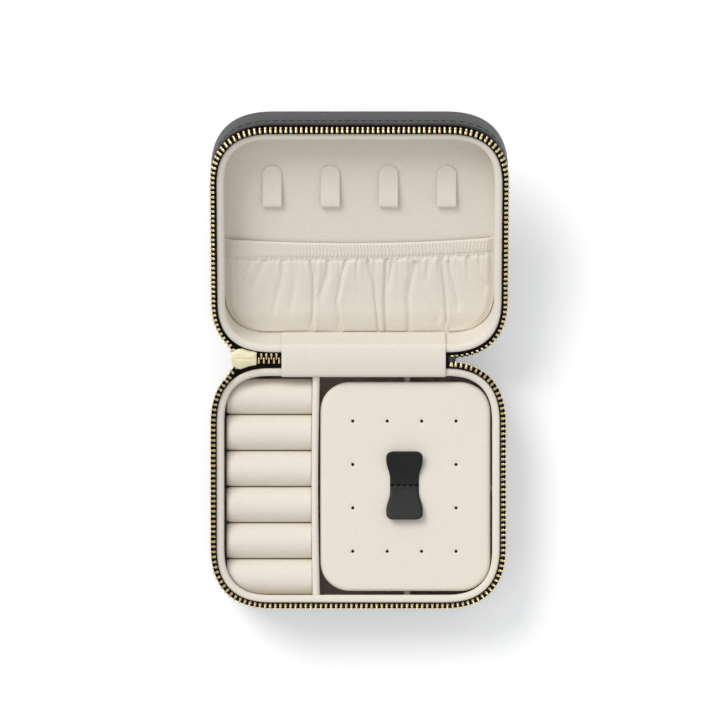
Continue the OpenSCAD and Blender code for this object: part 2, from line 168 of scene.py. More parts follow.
def arc(centre, radius, first, last, steps):
    """Points of an arc in a profile, with angles in degrees."""
    angle = np.radians(np.linspace(first, last, steps + 1))
    return [(centre[0] + radius * np.cos(a), centre[1] + radius * np.sin(a)) for a in angle]


def rippled(points, size, amount):
    """Smooth uneven offsets for points, about size apart and up to amount high."""
    points = np.asarray(points, float)
    waves = ((0.8, 0.5, 0.3), (-0.45, 0.85, 0.4), (0.35, -0.6, 0.9), (1.3, 0.9, -0.5), (-1.1, 1.2, 0.7))
    total = sum(np.sin(points @ np.array(wave) * 2 * np.pi / size + 1.7 * n) for n, wave in enumerate(waves))
    return amount * total / len(waves)


def rounded(points, rounds):
    """Cuts the corners of an open path, and keeps its ends."""
    points = np.asarray(points, float)
    for _ in range(rounds):
        inner = np.stack([0.75 * points[:-1] + 0.25 * points[1:], 0.25 * points[:-1] + 0.75 * points[1:]], 1)
        points = np.vstack([points[:1], inner.reshape(-1, points.shape[1]), points[-1:]])
    return points


def even(points, step):
    """An open path sampled again at even steps."""
    points = np.asarray(points, float)
    run = np.concatenate([[0], np.cumsum(np.linalg.norm(np.diff(points, axis=0), axis=1))])
    at = np.linspace(0, run[-1], max(2, int(run[-1] / step) + 1))
    return np.stack([np.interp(at, run, column) for column in points.T], -1)


def closed_even(points, step, count):
    """That many even points of a closed path, to the nearest step."""
    path = even(points, step)
    return path[np.linspace(0, len(path) - 1, count + 1).astype(int)[:-1]]


# ---- outline of the case


def outline_table():
    """Rows of quarter signs and corner angle, clockwise from the middle of the hinge side."""
    rows = [(0, 1, 90)]
    for sx, sy, first, last in ((1, 1, 90, 0), (1, -1, 0, 90), (-1, -1, 90, 0), (-1, 1, 0, 90)):
        rows += [(sx, sy, angle) for angle in np.linspace(first, last, CORNER_STEPS + 1)]
    return np.array(rows + [(0, 1, 90)], float)


SIDE_X, SIDE_Y, ANGLE = outline_table().T
CORNER_X = np.clip(np.cos(np.radians(ANGLE)), 0, 1) ** (2 / CORNER_POWER)
CORNER_Y = np.clip(np.sin(np.radians(ANGLE)), 0, 1) ** (2 / CORNER_POWER)


def table_points(index, d):
    reach = CORNER - CORNER_TIGHTEN * d
    x = SIDE_X[index] * (HALF_W - d - reach + reach * CORNER_X[index])
    y = SIDE_Y[index] * (HALF_D - d - reach + reach * CORNER_Y[index])
    return np.stack([x, y], -1)


ZIP_LINE = table_points(np.arange(len(ANGLE)), ZIP_IN)
RUN = np.concatenate([[0], np.cumsum(np.linalg.norm(np.diff(ZIP_LINE, axis=0), axis=1))])
TURN = RUN[-1]


def outline(s, d):
    """Points of the outline at distances s round it and d in."""
    s, d = np.broadcast_arrays(np.asarray(s, float), np.asarray(d, float))
    place = np.interp(np.mod(s, TURN), RUN, np.arange(len(RUN)))
    index = np.minimum(place.astype(int), len(RUN) - 2)
    share = (place - index)[..., None]
    return table_points(index, d) * (1 - share) + table_points(index + 1, d) * share


def directions(behind, ahead):
    """The clockwise and the outward direction of a level line, from points behind and ahead on it."""
    along = ahead - behind
    along /= np.linalg.norm(along, axis=-1, keepdims=True)
    return xyz(along[:, 0], along[:, 1], 0), xyz(-along[:, 1], along[:, 0], 0)


def round_trip(step):
    count = int(TURN / step)
    return np.arange(count) * TURN / count


def s_at_angle(angle, last_corner):
    """Where the outline passes an angle of its first or last corner."""
    first = 1 + 3 * (CORNER_STEPS + 1) if last_corner else 1
    rows = slice(first, first + CORNER_STEPS + 1)
    order = np.argsort(ANGLE[rows])
    return np.interp(angle, ANGLE[rows][order], RUN[rows][order])


ROW_START = s_at_angle(ZIP_START, False)
TURN_START = s_at_angle(TURN_ANGLE, True)
ROW_END = s_at_angle(ZIP_END, True)


# ---- shapes: (points, faces) in millimetres


def grid(rows, cols, wrap_rows=False, wrap_cols=False):
    row = np.arange(rows if wrap_rows else rows - 1)[:, None]
    col = np.arange(cols if wrap_cols else cols - 1)[None, :]
    next_row = (row + 1) % rows
    next_col = (col + 1) % cols
    corners = [row * cols + col, next_row * cols + col, next_row * cols + next_col, row * cols + next_col]
    return np.stack(np.broadcast_arrays(*corners), -1).reshape(-1, 4).tolist()


def loft(loops):
    """A closed solid through loops of points, with a fan at each end."""
    loops = np.asarray(loops, float)
    rows, cols = loops.shape[:2]
    points = np.vstack([loops.reshape(-1, 3), loops[0].mean(0), loops[-1].mean(0)])
    faces = grid(rows, cols, wrap_cols=True)
    last = (rows - 1) * cols
    for col in range(cols):
        after = (col + 1) % cols
        faces.append([after, col, rows * cols])
        faces.append([last + col, last + after, rows * cols + 1])
    return points, faces


def band(profile, step=1.0, s=None):
    """Sweeps [inward, height] points round the case, or along s, where the profile may change on the way."""
    closed = s is None
    s = round_trip(step) if closed else s
    profile = np.asarray(profile, float)
    profile = np.broadcast_to(profile, (len(s),) + profile.shape[-2:])
    flat = outline(s[:, None], profile[..., 0])
    points = np.concatenate([flat, profile[..., 1:]], -1)
    if not closed:
        return loft(points)
    return points.reshape(-1, 3), grid(*points.shape[:2], wrap_rows=True, wrap_cols=True)


def plate(profile, step=1.2):
    """A closed slab through outlines given as [inward, share of full size, height]."""
    s = round_trip(step)
    loops = []
    for d, share, z in profile:
        x, y = (outline(s, d) * share).T
        loops.append(xyz(x, y, z))
    return loft(loops)


def scatter(shape, origins, axes):
    """One copy of a shape at each origin, with its axes as the columns of one matrix or of a matrix each."""
    points, faces = shape
    axes = np.broadcast_to(axes, (len(origins), 3, 3))
    moved = np.einsum("nij,vj->nvi", axes, points) + np.asarray(origins)[:, None]
    copies = [[index + len(points) * n for index in face] for n in range(len(origins)) for face in faces]
    return moved.reshape(-1, 3), copies


def joined(*shapes):
    points, faces, count = [], [], 0
    for shape_points, shape_faces in shapes:
        points.append(shape_points)
        faces += [[index + count for index in face] for face in shape_faces]
        count += len(shape_points)
    return np.vstack(points), faces


def superloop(count, power):
    """Points round a unit square with rounded corners."""
    angle = np.arange(count) * 2 * np.pi / count
    c, s = np.cos(angle), np.sin(angle)
    return np.sign(c) * abs(c) ** (2 / power), np.sign(s) * abs(s) ** (2 / power)


def flat_section(half_w, half_t, cols):
    """A flat strip's cross section with rounded edges, as [across, up]."""
    across = np.linspace(-1, 1, cols) * (half_w - half_t)
    top = [(x, half_t) for x in across]
    right = arc((half_w - half_t, 0), half_t, 60, -60, 2)
    bottom = [(x, -half_t) for x in across[::-1]]
    left = arc((half_t - half_w, 0), half_t, 240, 120, 2)
    return np.array(top + right + bottom + left)


def strap(path, half_w, half_t, cols=24, middle_x=0.0):
    """A flat strap along a path of [y, z] points, with widths that may change on the way."""
    path = np.asarray(path, float)
    along = np.gradient(path, axis=0)
    along /= np.linalg.norm(along, axis=1, keepdims=True)
    half_w = np.broadcast_to(half_w, len(path))
    half_t = np.broadcast_to(half_t, len(path))
    middle_x = np.broadcast_to(middle_x, len(path))
    loops = []
    for (y, z), (dy, dz), w, t, x in zip(path, along, half_w, half_t, middle_x):
        section = flat_section(w, t, cols)
        loops.append(xyz(x + section[:, 0], y - dz * section[:, 1], z + dy * section[:, 1]))
    return loft(loops)


def bead(length, width, height):
    """A small rounded stitch along Y."""
    c, s = superloop(10, 2.3)
    at = np.linspace(-0.98, 0.98, 7)
    full = (1 - at ** 2) ** 0.35
    return loft([xyz(width / 2 * c * f, length / 2 * t, height / 2 * s * f) for t, f in zip(at, full)])


# ---- materials


def add(tree, kind, settings=None, **inputs):
    """A shader node, whose inputs are values or other nodes' outputs."""
    made = tree.nodes.new(kind)
    for key, value in (settings or {}).items():
        setattr(made, key, value)
    for key, value in inputs.items():
        socket = made.inputs[key.replace("_", " ")]
        if isinstance(value, bpy.types.NodeSocket):
            tree.links.new(value, socket)
        else:
            socket.default_value = value
    return made


def new_material(name, **sockets):
    material = bpy.data.materials.new(name)
    material.use_nodes = True
    tree = material.node_tree
    shader = tree.nodes["Principled BSDF"]
    for key, value in sockets.items():
        shader.inputs[key.replace("_", " ")].default_value = value
    where = tree.nodes.new("ShaderNodeTexCoord").outputs["Object"]
    return material, tree, shader, where


def noise(tree, where, size, detail=2.0, rough=0.5):
    """Cloudy noise with spots of about that size in millimetres."""
    return add(tree, "ShaderNodeTexNoise", Vector=where, Scale=1000 / size, Detail=detail,
               Roughness=rough).outputs["Fac"]


def colour(tree, shader, fac, dark, light):
    """Colours a shader between two tones by a factor."""
    scale = add(tree, "ShaderNodeMapRange", Value=fac, From_Min=0.3, From_Max=0.7)
    mix = tree.nodes.new("ShaderNodeMix")
    mix.data_type = "RGBA"
    tree.links.new(scale.outputs["Result"], mix.inputs["Factor"])
    for socket, tone in (("A", dark), ("B", light)):
        next(i for i in mix.inputs if i.name == socket and i.type == "RGBA").default_value = (*tone, 1)
    out = next(o for o in mix.outputs if o.type == "RGBA")
    tree.links.new(out, shader.inputs["Base Color"])


def bump(tree, shader, *layers):
    """Stacks bumps, each (height, depth in millimetres, strength)."""
    normal = None
    for height, depth, strength in layers:
        inputs = {"Height": height, "Distance": depth / 1000, "Strength": strength}
        if normal is not None:
            inputs["Normal"] = normal
        normal = add(tree, "ShaderNodeBump", **inputs).outputs["Normal"]
    tree.links.new(normal, shader.inputs["Normal"])


def vary_roughness(tree, shader, fac, low, high):
    scale = add(tree, "ShaderNodeMapRange", Value=fac, To_Min=low, To_Max=high)
    tree.links.new(scale.outputs["Result"], shader.inputs["Roughness"])


def cream_lining():
    """Brushed microfibre: soft mottling, a fine nap and a little sheen."""
    material, tree, shader, where = new_material(
        "cream_lining", Roughness=0.92, Sheen_Weight=0.12, Sheen_Roughness=0.5, Specular_IOR_Level=0.2)
    cloud = noise(tree, where, 1.3, 4, 0.6)
    colour(tree, shader, cloud, (0.785, 0.728, 0.645), (0.82, 0.765, 0.68))
    bump(tree, shader, (noise(tree, where, 0.5, 3, 0.65), 0.14, 0.55), (noise(tree, where, 1.2, 2), 0.2, 0.5))
    return material


def pebbled_leather(name, tone, light_tone, cell, depth, roughness, gloss):
    """Leather with a raised pebble grain, fine pores and duller high spots."""
    material, tree, shader, where = new_material(name, Specular_IOR_Level=gloss)
    swirl = add(tree, "ShaderNodeVectorMath", {"operation": "MULTIPLY_ADD"})
    cloud = add(tree, "ShaderNodeTexNoise", Vector=where, Scale=1000 / (3 * cell), Detail=2.0)
    tree.links.new(cloud.outputs["Color"], swirl.inputs[0])
    swirl.inputs[1].default_value = (0.0006, 0.0006, 0.0006)
    tree.links.new(where, swirl.inputs[2])
    cells = add(tree, "ShaderNodeTexVoronoi", {"feature": "DISTANCE_TO_EDGE"},
                Vector=swirl.outputs["Vector"], Scale=1000 / cell)
    pebble = add(tree, "ShaderNodeMapRange", Value=cells.outputs["Distance"], From_Max=0.35).outputs["Result"]
    worn = noise(tree, where, 9, 3)
    colour(tree, shader, worn, tone, light_tone)
    vary_roughness(tree, shader, worn, roughness - 0.06, roughness + 0.08)
    bump(tree, shader, (pebble, depth, 0.6), (noise(tree, where, 0.25, 2), 0.04, 0.4))
    return material


def black_leather():
    return pebbled_leather("black_leather", (0.022, 0.022, 0.023), (0.036, 0.035, 0.035),
                           cell=0.85, depth=0.12, roughness=0.5, gloss=0.55)


def tab_leather():
    return pebbled_leather("tab_leather", (0.004, 0.0035, 0.003), (0.009, 0.008, 0.007),
                           cell=0.55, depth=0.07, roughness=0.37, gloss=0.34)


def black_tape():
    """Woven zip tape: fine ribs along its length over a cloudy base."""
    material, tree, shader, where = new_material("black_tape", Roughness=0.9, Specular_IOR_Level=0.08)
    colour(tree, shader, noise(tree, where, 1.2, 2), (0.0025, 0.0025, 0.0025), (0.007, 0.0065, 0.006))
    ribs = add(tree, "ShaderNodeTexWave", {"bands_direction": "DIAGONAL"}, Vector=where, Scale=900.0,
               Distortion=2.0, Detail=1.0).outputs["Fac"]
    bump(tree, shader, (ribs, 0.15, 0.7), (noise(tree, where, 0.3), 0.06, 0.5))
    return material


def black_thread():
    """Waxed thread with a fine twist."""
    material, tree, shader, where = new_material("black_thread", Roughness=0.7, Specular_IOR_Level=0.1)
    colour(tree, shader, noise(tree, where, 0.8), (0.002, 0.002, 0.002), (0.01, 0.01, 0.01))
    twist = add(tree, "ShaderNodeTexWave", {"bands_direction": "DIAGONAL"}, Vector=where, Scale=1600.0)
    bump(tree, shader, (twist.outputs["Fac"], 0.06, 0.6))
    return material


def brass(name, dark, light, roughness, spot):
    """Plated metal, with tone and polish that vary a little."""
    material, tree, shader, where = new_material(name, Metallic=1.0)
    cloud = noise(tree, where, spot, 3)
    colour(tree, shader, cloud, dark, light)
    vary_roughness(tree, shader, noise(tree, where, spot / 3), roughness - 0.05, roughness + 0.08)
    bump(tree, shader, (noise(tree, where, 0.3, 2), 0.02, 0.25))
    return material


def zip_brass():
    return brass("zip_brass", (0.74, 0.56, 0.27), (0.95, 0.79, 0.48), 0.27, 3.0)


def slider_brass():
    return brass("slider_brass", (1.0, 0.9, 0.6), (1.0, 0.94, 0.7), 0.48, 0.8)


def stud_brass():
    return brass("stud_brass", (0.66, 0.5, 0.25), (0.82, 0.66, 0.38), 0.25, 2.0)


def fibre_board():
    """Raw grey board: flecks and a rough cut face."""
    material, tree, shader, where = new_material("fibre_board", Roughness=0.95, Specular_IOR_Level=0.15)
    colour(tree, shader, noise(tree, where, 0.9, 4, 0.7), (0.26, 0.22, 0.17), (0.5, 0.44, 0.35))
    bump(tree, shader, (noise(tree, where, 0.5, 3), 0.12, 0.6))
    return material


MAKERS = (cream_lining, black_leather, tab_leather, black_tape, black_thread, zip_brass, slider_brass,
          stud_brass, fibre_board)
MATERIALS = {make.__name__: make() for make in MAKERS}


# ---- pieces


def piece(name, shape, place, slot, body=None, replaced=(), sharp=50):
    """A smooth mesh with a slot's material, which rides on a body and stands for CAD nodes."""
    points, faces = shape
    mesh = bpy.data.meshes.new(name)
    mesh.from_pydata(placed(place, points).tolist(), [], faces)
    work = bmesh.new()
    work.from_mesh(mesh)
    bmesh.ops.recalc_face_normals(work, faces=work.faces)
    for edge in work.edges:
        edge.smooth = edge.calc_face_angle(0) < np.radians(sharp)
    for face in work.faces:
        face.smooth = True
    work.to_mesh(mesh)
    work.free()
    mesh.materials.append(MATERIALS[slot])
    obj = bpy.data.objects.new(name, mesh)
    bpy.context.scene.collection.objects.link(obj)
    if body:
        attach(obj, body)
    if replaced:
        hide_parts(*replaced)
    return obj


def bent(name, shape, place, slot, replaced=()):
    """A piece whose place is baked into its mesh, left on no body."""
    obj = piece(name, shape, place, slot, replaced=replaced)
    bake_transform(obj)
    return obj


# ---- shells, shared by the base and the lid


def wall_leather(foot):
    """The leather wall, with a turned edge at the top, a sewn groove under it and a rounded foot."""
    groove = WALL_TOP + STITCH_DROP
    steps = np.linspace(foot + 2.2, groove - 0.8, 7)
    profile = arc((2.0, foot + 2.0), 2.0, 270, 180, 6)
    profile += [(0.06 * np.sin(z), z) for z in steps[1:-1]]
    profile += [(0.02, groove - 0.55), (0.2, groove), (0.02, groove + 0.55)]
    profile += arc((0.85, WALL_TOP - 0.85), 0.83, 180, 0, 8)
    profile += [(1.0, WALL_TOP - 1.6), (1.0, foot + 2.4), (1.3, foot + 1.3), (2.0, foot + 1.0)]
    return band(profile)


def wall_board(foot):
    """The board inside the leather, a little uneven along its cut edges."""
    outer, inner = 1.06, 1.74
    low, high = foot + 2.6, WALL_TOP - 1.7
    points, faces = band([(outer, low), (outer, high), (inner, high), (inner, low)])
    points[:, 2] += rippled(points, 7, 0.08)
    return points, faces


def wall_stitches():
    """One stitch after another in the groove of the leather wall."""
    count = round(TURN / STITCH_PITCH)
    s = np.arange(count) * TURN / count
    along, outward = directions(outline(s - DIRECTION_STEP, ZIP_IN), outline(s + DIRECTION_STEP, ZIP_IN))
    up = np.broadcast_to((0.0, 0.0, 1.0), along.shape)
    origins = xyz(*outline(s, 0.12).T, WALL_TOP + STITCH_DROP)
    return scatter(bead(2.5, 0.5, 0.4), origins, np.stack([up, along, outward], -1))


def outer_panel(outer, inner):
    """The flat leather on the outside: a turned edge, a sewn groove and a slight crown."""
    side = np.sign(outer - inner)
    profile = [(2.0, 0.02, inner), (2.0, 1, inner), (1.05, 1, inner), (1.02, 1, outer - 0.5 * side)]
    profile += [(1.3, 1, outer - 0.15 * side), (1.8, 1, outer - 0.1 * side), (3.4, 1, outer - 0.1 * side),
                (3.9, 1, outer - 0.3 * side), (4.4, 1, outer - 0.1 * side)]
    profile += [(6, share, outer - 0.02 * side) for share in (1, 0.9, 0.75, 0.6, 0.45, 0.3, 0.15, 0.03)]
    return plate(profile)


def wall_lining(foot):
    """The padded inside of the walls, a little fuller at mid height."""
    heights = np.linspace(foot, ROLL_SEAT, 8)
    full = np.sin(np.pi * (heights - foot) / (ROLL_SEAT - foot))
    profile = [(LINING_IN, foot), (LINING_IN, ROLL_SEAT)]
    profile += [(INSIDE_IN - 0.15 + 0.15 * f, z) for z, f in zip(heights[::-1], full)]
    return band(profile)


def inside_plate(low, high, crown):
    """A lined floor or panel, soft at its border and slightly crowned."""
    shares = np.linspace(1, 0.03, 22)
    profile = [(LINING_IN, 0.02, low), (LINING_IN, 1, low), (LINING_IN, 1, high - 0.3)]
    profile += [(INSIDE_IN - 0.6, 1, high - 0.25)]
    profile += [(6, share, high + crown * (1 - share ** 6)) for share in shares]
    points, faces = plate(profile)
    top = points[:, 2] > high - 0.2
    points[top, 2] += rippled(points[top], 17, 0.05)
    return points, faces


def rim_roll():
    """The padded roll on the rim: crisp along the tape, then falling away to its seam with the lining."""
    outer, inner = ROLL_IN
    profile = [(outer, ROLL_SEAT), (outer, ROLL_TOP - 0.5)]
    profile += [(outer + 0.12, ROLL_TOP - 0.15), (outer + 0.35, ROLL_TOP)]
    for angle in np.radians(np.linspace(6, 90, 12)):
        profile.append((inner - 2.6 * (1 - np.sin(angle)), ROLL_TOP - 1.7 * (1 - np.cos(angle))))
    profile += [(inner - 0.1, ROLL_SEAT + 0.35), (inner - 0.35, ROLL_SEAT)]
    points, faces = band(profile, 0.8)
    points += rippled(points, 11, 0.03)[:, None] * (0.6, 0.6, 1)
    return points, faces


def row_state(s, flares):
    """How far in a zip row's roots stand, and its flare, at distances s round the case."""
    angle = np.interp(s, RUN, ANGLE)
    opening = ramp((angle - 40) / 40) * (s < TURN / 4)
    closing = np.clip((angle - TURN_ANGLE) / (ZIP_END - TURN_ANGLE), 0, 1) ** 1.4 * (s > TURN * 0.75)
    flare = (flares[0] + (flares[1] - flares[0]) * opening) * (1 - closing)
    return ZIP_IN - SLIDER_REACH * closing, np.radians(flare)


def zip_tape(flares, first, last):
    """The tape: up out of the wall, out along the teeth and round the cord at its edge."""
    s = np.arange(first, last, 0.6)
    root, flare = row_state(s, flares)
    out = np.stack([-np.cos(flare), np.sin(flare)], -1)
    up = np.stack([np.sin(flare), np.cos(flare)], -1)
    start = np.stack([root, np.full(len(s), ZIP_UP)], -1)
    top, under = TAPE_HALF_T * up, -TAPE_HALF_T * up

    def in_wall(side, z):
        return np.broadcast_to((ZIP_IN + side * TAPE_HALF_T, z), start.shape)

    rows = [in_wall(1, TAPE_FOOT), in_wall(1, -1.0), 0.5 * in_wall(1, 0.2) + 0.5 * (start + top)]
    rows += [start + 0.3 * out + top, start + 1.3 * out + top]
    for angle in np.radians([120, 80, 40, 0, -40, -80, -120]):
        rows.append(start + (1.75 + CORD_R * np.cos(angle)) * out + CORD_R * np.sin(angle) * up)
    rows += [start + 1.3 * out + under, start + 0.3 * out + under]
    rows += [0.5 * in_wall(-1, 0.0) + 0.5 * (start + under), in_wall(-1, -1.0), in_wall(-1, TAPE_FOOT)]
    return band(np.stack(rows, 1), s=s)


# Loops of a tooth from its clamp to its head: distance out, half width, half thickness
TOOTH_LOOPS = ((0.0, 0.35, 0.36), (0.1, 0.52, 0.52), (0.4, 0.6, 0.6), (0.95, 0.6, 0.6), (1.3, 0.54, 0.56),
               (1.5, 0.4, 0.46), (1.68, 0.4, 0.46), (1.95, 0.5, 0.52), (2.2, 0.48, 0.46), (2.4, 0.34, 0.32),
               (2.5, 0.14, 0.14))


def tooth():
    """A metal tooth along X: its clamp, its neck and its rounded head."""
    c, s = superloop(12, 2.7)
    return loft([xyz(x, w * c, t * s) for x, w, t in TOOTH_LOOPS])


def tooth_frames(s, flares):
    """Origins and axes of teeth at distances s round the case."""
    root, flare = row_state(s, flares)
    beside = (s - DIRECTION_STEP, s + DIRECTION_STEP)
    along, outward = directions(*(outline(near, row_state(near, flares)[0]) for near in beside))
    up = np.array([0.0, 0.0, 1.0])
    cos, sin = np.cos(flare)[:, None], np.sin(flare)[:, None]
    tooth_x = cos * outward + sin * up
    tooth_z = cos * up - sin * outward
    origins = xyz(*outline(s, root).T, ZIP_UP) + TOOTH_START * tooth_x
    return origins, np.stack([tooth_x, along, tooth_z], -1)


def zip_teeth(flares, first, last):
    s = np.arange(ROW_START + FIRST_TOOTH, ROW_END, TOOTH_PITCH)
    s = s[(s >= first) & (s < last)]
    origins, axes = tooth_frames(s, flares)
    lean = RANDOM.normal(0, TOOTH_LEAN, len(s))
    axes[:, :, 0] += lean[:, None] * axes[:, :, 1]
    return scatter(tooth(), origins, axes)


def top_stop(flares):
    """The end of a row: a short block clamped on the tape."""
    points, faces = tooth()
    origins, axes = tooth_frames(np.array([ROW_START + STOP_AT]), flares)
    return scatter((points * (0.75, 1.45, 1.05), faces), origins, axes)


def shell(part, place, flares, foot, floor, flat_nodes):
    """The pieces that the base and the lid have in common. It returns the lined floor."""
    floor_low, floor_high, crown = floor
    panel_node, floor_node = flat_nodes
    made = (
        ("leather_wall", wall_leather(foot), "black_leather", "wall_leather"),
        ("board_wall", wall_board(foot), "fibre_board", "wall_board"),
        ("zip_tape_row", zip_tape(flares, ROW_START - 1.5, TURN_START), "black_tape", "zip_tape"),
        ("zip_tooth_row", zip_teeth(flares, 0, TURN_START), "zip_brass", "zip_teeth"),
        ("zip_row_stop", top_stop(flares), "zip_brass", "zip_top_stop"),
        ("roll_on_rim", rim_roll(), "cream_lining", "rim_roll"),
        ("lined_wall", wall_lining(floor_high), "cream_lining", "wall_lining"),
    )
    for name, shape, slot, node in made:
        piece(f"{part}_{name}", shape, place, slot, part, [f"{part}_{node}"])
    piece(f"{part}_wall_stitches", wall_stitches(), place, "black_thread", part)
    piece(f"{part}_outer_panel", outer_panel(foot, foot + 1), place, "black_leather", part, [panel_node])
    lined = inside_plate(floor_low, floor_high, crown)
    return piece(f"{part}_lined_floor", lined, place, "cream_lining", part, [floor_node])


# ---- base fittings


DIVIDER_BOW = 0.55
DIVIDER_SLIM = 0.16
DIVIDER_BOX = node_box("ring_roll_divider")
ROLL_LEN = 34
# Shares of a roll's length at which its sections stand, closer together near its ends
ROLL_STATIONS = np.concatenate([np.linspace(0.0015, 0.16, 14), np.linspace(0.18, 0.96, 26),
                                np.linspace(0.97, 0.9995, 6)])


def divider_bend(y):
    """How far to the right of its straight line the divider stands at y, below 0 for left."""
    low, high = DIVIDER_BOX
    return -DIVIDER_BOW * np.cos(np.pi * (y - (low + high)[1] / 2) / (high - low)[1])


def upright(node, axis, bend_at):
    """A covered board that stands on the floor along an axis, with a soft round top."""
    low, high = node_box(node)
    middle = (low + high) / 2
    half_t = (high[1 - axis] - low[1 - axis]) / 2
    side = [(half_t - 0.05 * np.sin(z), z) for z in np.linspace(high[2] - half_t, low[2] + 1, 6)]
    side.append((half_t - 0.12, low[2]))
    section = [(-x, z) for x, z in side[::-1]] + arc((0, high[2] - half_t), half_t, 170, 10, 9) + side
    section = np.array(section)
    length = np.linspace(low[axis], high[axis], 60)
    loops = []
    for at, bend in zip(length, bend_at(length)):
        across = middle[1 - axis] + section[:, 0] * (1 - DIVIDER_SLIM * abs(bend)) + bend
        loop = xyz(across, across, section[:, 1])
        loop[:, axis] = at
        loops.append(loop)
    points, faces = loft(loops)
    soft = points[:, 2] > high[2] - 2 * half_t
    points[soft] += rippled(points[soft], 9, 0.04)[:, None]
    return points, faces


def end_fullness(distance, reach):
    """How full a roll is at a distance from its end, from 0 to 1, where the end is rounded over a reach."""
    into_end = 1 - np.clip(distance / reach, 0, 1)
    return (1 - into_end ** 2.4) ** (1 / 2.4)


def ring_roll(node):
    """A padded roll: round on top, rounded off at the ends and fitted to the corner of the case."""
    low, high = node_box(node)
    radius = (high[1] - low[1]) / 2
    middle_y = (low[1] + high[1]) / 2
    middle_z = high[2] - radius
    side = [(radius, z) for z in np.linspace(middle_z - 1, low[2] + 3, 6)] + [(radius, low[2])]
    section = [(-x, z) for x, z in side[::-1]] + arc((0, middle_z), radius, 180, 0, 26) + side
    section = np.array(section)
    right_end = DIVIDER_BOX[0][0] + 0.2 + 0.75 * divider_bend(middle_y)
    inside = outline(np.linspace(TURN * 0.5, TURN - 0.1, 400), INSIDE_IN + 0.35)
    order = np.argsort(inside[:, 1])
    loops = []
    for share in ROLL_STATIONS:
        full = end_fullness(share * ROLL_LEN, 2.6) * end_fullness((1 - share) * ROLL_LEN, 0.7)
        size = 0.88 + 0.12 * full
        y = middle_y + section[:, 0] * size
        z = low[2] + (section[:, 1] - low[2]) * size
        left_end = np.maximum(low[0], np.interp(y, inside[order, 1], inside[order, 0]))
        loops.append(xyz(left_end + (right_end - left_end) * share, y, z))
    points, faces = loft(loops)
    points[:, 2] += rippled(points, 15, 0.09) + rippled(points, 6, 0.03)
    return points, faces


PAD_POWER = 2.1
HOLE_MIDDLE = np.array([18.3, -0.4])
HOLE_COLUMNS = (-20.45, -6.82, 6.82, 20.45)
HOLE_ROWS = (-25.8, -8.6, 8.6, 25.8)
HOLES = [HOLE_MIDDLE + (x, y) for x in HOLE_COLUMNS for y in HOLE_ROWS if abs(x) > 10 or abs(y) > 10]
HOLE_R = 0.62


def pad_loops(low, high, radius, profile):
    """Outlines of the pad, given as [inward, share of full size, height]."""
    count = 220
    middle = (low + high) / 2
    half = (high - low) / 2
    c, s = superloop(count, PAD_POWER)
    loops = []
    for inward, share, z in profile:
        r = max(radius - inward, 1.0)
        x = np.sign(c) * (half[0] - inward - r) + r * c
        y = np.sign(s) * (half[1] - inward - r) + r * s
        loop = closed_even(np.column_stack([x, y])[list(range(count)) + [0]], 0.1, count) * share
        loops.append(xyz(middle[0] + loop[:, 0], middle[1] + loop[:, 1], z))
    return loops


def pad_cushion():
    """The earring pad's cushion: soft edges, a slight crown and a dimple at each hole."""
    low, high = node_box("pad_cushion")
    profile = [(1.2, 0.03, low[2]), (1.2, 0.5, low[2]), (1.2, 1, low[2]), (0.35, 1, low[2] + 0.25)]
    profile += [(0, 1, low[2] + 0.9), (0.0, 1, high[2] - 1.7)]
    profile += [(d, 1, z) for d, z in arc((1.5, high[2] - 1.65), 1.5, 172, 96, 9)]
    profile += [(2.2, share, high[2] - 0.12 * share ** 8) for share in np.linspace(0.985, 0.02, 46)]
    points, faces = loft(pad_loops(low, high, 12.3, profile))
    top = points[:, 2] > high[2] - 2
    for hole in HOLES:
        away = np.linalg.norm(points[:, :2] - hole, axis=1)
        points[top, 2] -= 0.3 * bell(away[top], 1.5)
    points[top, 2] += rippled(points[top], 21, 0.04)
    return points, faces


def pierced(obj):
    """Cuts the earring post holes through a pad."""
    low, high = node_box("pad_cushion")
    c, s = superloop(20, 2)
    pin = loft([xyz(HOLE_R * c, HOLE_R * s, z) for z in (low[2] - 5, high[2] + 5)])
    pins = scatter(pin, [(x, y, 0) for x, y in HOLES], np.eye(3))
    cutter = piece("hole_cutter", pins, METRES, "cream_lining")
    cut = obj.modifiers.new("holes", "BOOLEAN")
    cut.object = cutter
    cut.operation = "DIFFERENCE"
    cut.solver = "EXACT"
    bpy.context.view_layer.objects.active = obj
    with bpy.context.temp_override(object=obj, active_object=obj, selected_objects=[obj]):
        bpy.ops.object.modifier_apply(modifier=cut.name)
    bpy.data.objects.remove(cutter)
    return obj


BOW_HALF_LEN = 14
BOW_WAIST = 5.7
BOW_LOBE = 7.25
BOW_R = 2.6
BOW_T = 1.0
REAR_CURL = 15
FRONT_CURL = 14
BOW_STITCHES = 5


